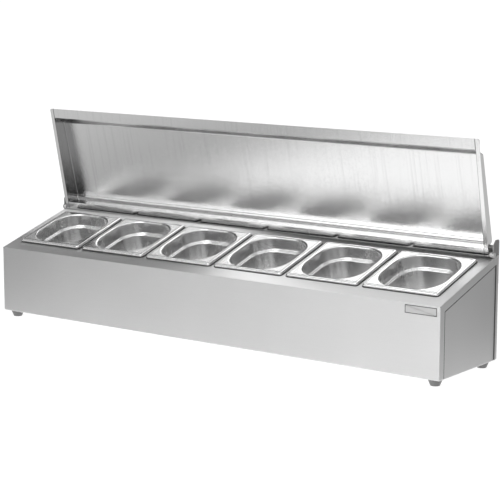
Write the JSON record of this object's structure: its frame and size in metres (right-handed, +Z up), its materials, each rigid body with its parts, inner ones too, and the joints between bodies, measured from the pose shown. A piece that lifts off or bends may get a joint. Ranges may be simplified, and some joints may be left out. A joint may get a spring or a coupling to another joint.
{
  "type": "gastronorm topping rack",
  "caption": "Countertop topping rack: a sloping folded stainless body on feet, with drawn gastronorm pans hung in its deck and a full-length folded lid on pivots at the rear.",
  "frame": {"origin": "on the counter, under the middle of the whole rack's length and depth with the lid open", "axes": "+X to the right seen from the front, +Y to the back, +Z up"},
  "size_m": [1.16, 0.2367, 0.4705],
  "materials": {
    "body_steel": "brushed along the length, satin",
    "bracket_steel": "satin",
    "lid_steel": "brushed along the length, satin",
    "pan_steel": "smooth drawn, bright",
    "hardware_steel": "plain, bright",
    "spacer_plastic": "matt",
    "foot_rubber": "satin grey"
  },
  "bodies": {
    "cabinet": {"front_deck_shell": "body_steel", "back_panel": "body_steel", "side_panel_left": "body_steel", "side_panel_right": "body_steel", "base_plate": "body_steel", "hinge_bracket_left": "bracket_steel", "hinge_bracket_right": "bracket_steel", "base_rivets": "hardware_steel", "pivot_pin_left": "hardware_steel", "pivot_pin_right": "hardware_steel", "foot_screws": "hardware_steel", "foot_washers": "hardware_steel", "foot_nuts": "hardware_steel", "bracket_screws": "hardware_steel", "bracket_nuts": "hardware_steel", "pivot_spacer_left": "spacer_plastic", "pivot_spacer_right": "spacer_plastic", "foot_front_left": "foot_rubber", "foot_front_right": "foot_rubber", "foot_rear_left": "foot_rubber", "foot_rear_right": "foot_rubber"},
    "lid": {"lid": "lid_steel"},
    "pan_1": {"pan_1": "pan_steel"},
    "pan_2": {"pan_2": "pan_steel"},
    "pan_3": {"pan_3": "pan_steel"},
    "pan_4": {"pan_4": "pan_steel"},
    "pan_5": {"pan_5": "pan_steel"},
    "pan_6": {"pan_6": "pan_steel"}
  },
  "joints": [
    {"name": "lid_hinge", "type": "hinge", "parent": "cabinet", "child": "lid", "pos_m": [0, 0.09253, 0.23246], "axis": [-1, 0, 0], "range_deg": [-95.1, 0]},
    {"name": "pan_1_lift", "type": "slide", "parent": "cabinet", "child": "pan_1", "axis": [0, -0.2924, 0.9563], "range_m": [0, 0.12]},
    {"name": "pan_2_lift", "type": "slide", "parent": "cabinet", "child": "pan_2", "axis": [0, -0.2924, 0.9563], "range_m": [0, 0.12]},
    {"name": "pan_3_lift", "type": "slide", "parent": "cabinet", "child": "pan_3", "axis": [0, -0.2924, 0.9563], "range_m": [0, 0.12]},
    {"name": "pan_4_lift", "type": "slide", "parent": "cabinet", "child": "pan_4", "axis": [0, -0.2924, 0.9563], "range_m": [0, 0.12]},
    {"name": "pan_5_lift", "type": "slide", "parent": "cabinet", "child": "pan_5", "axis": [0, -0.2924, 0.9563], "range_m": [0, 0.12]},
    {"name": "pan_6_lift", "type": "slide", "parent": "cabinet", "child": "pan_6", "axis": [0, -0.2924, 0.9563], "range_m": [0, 0.12]}
  ]
}
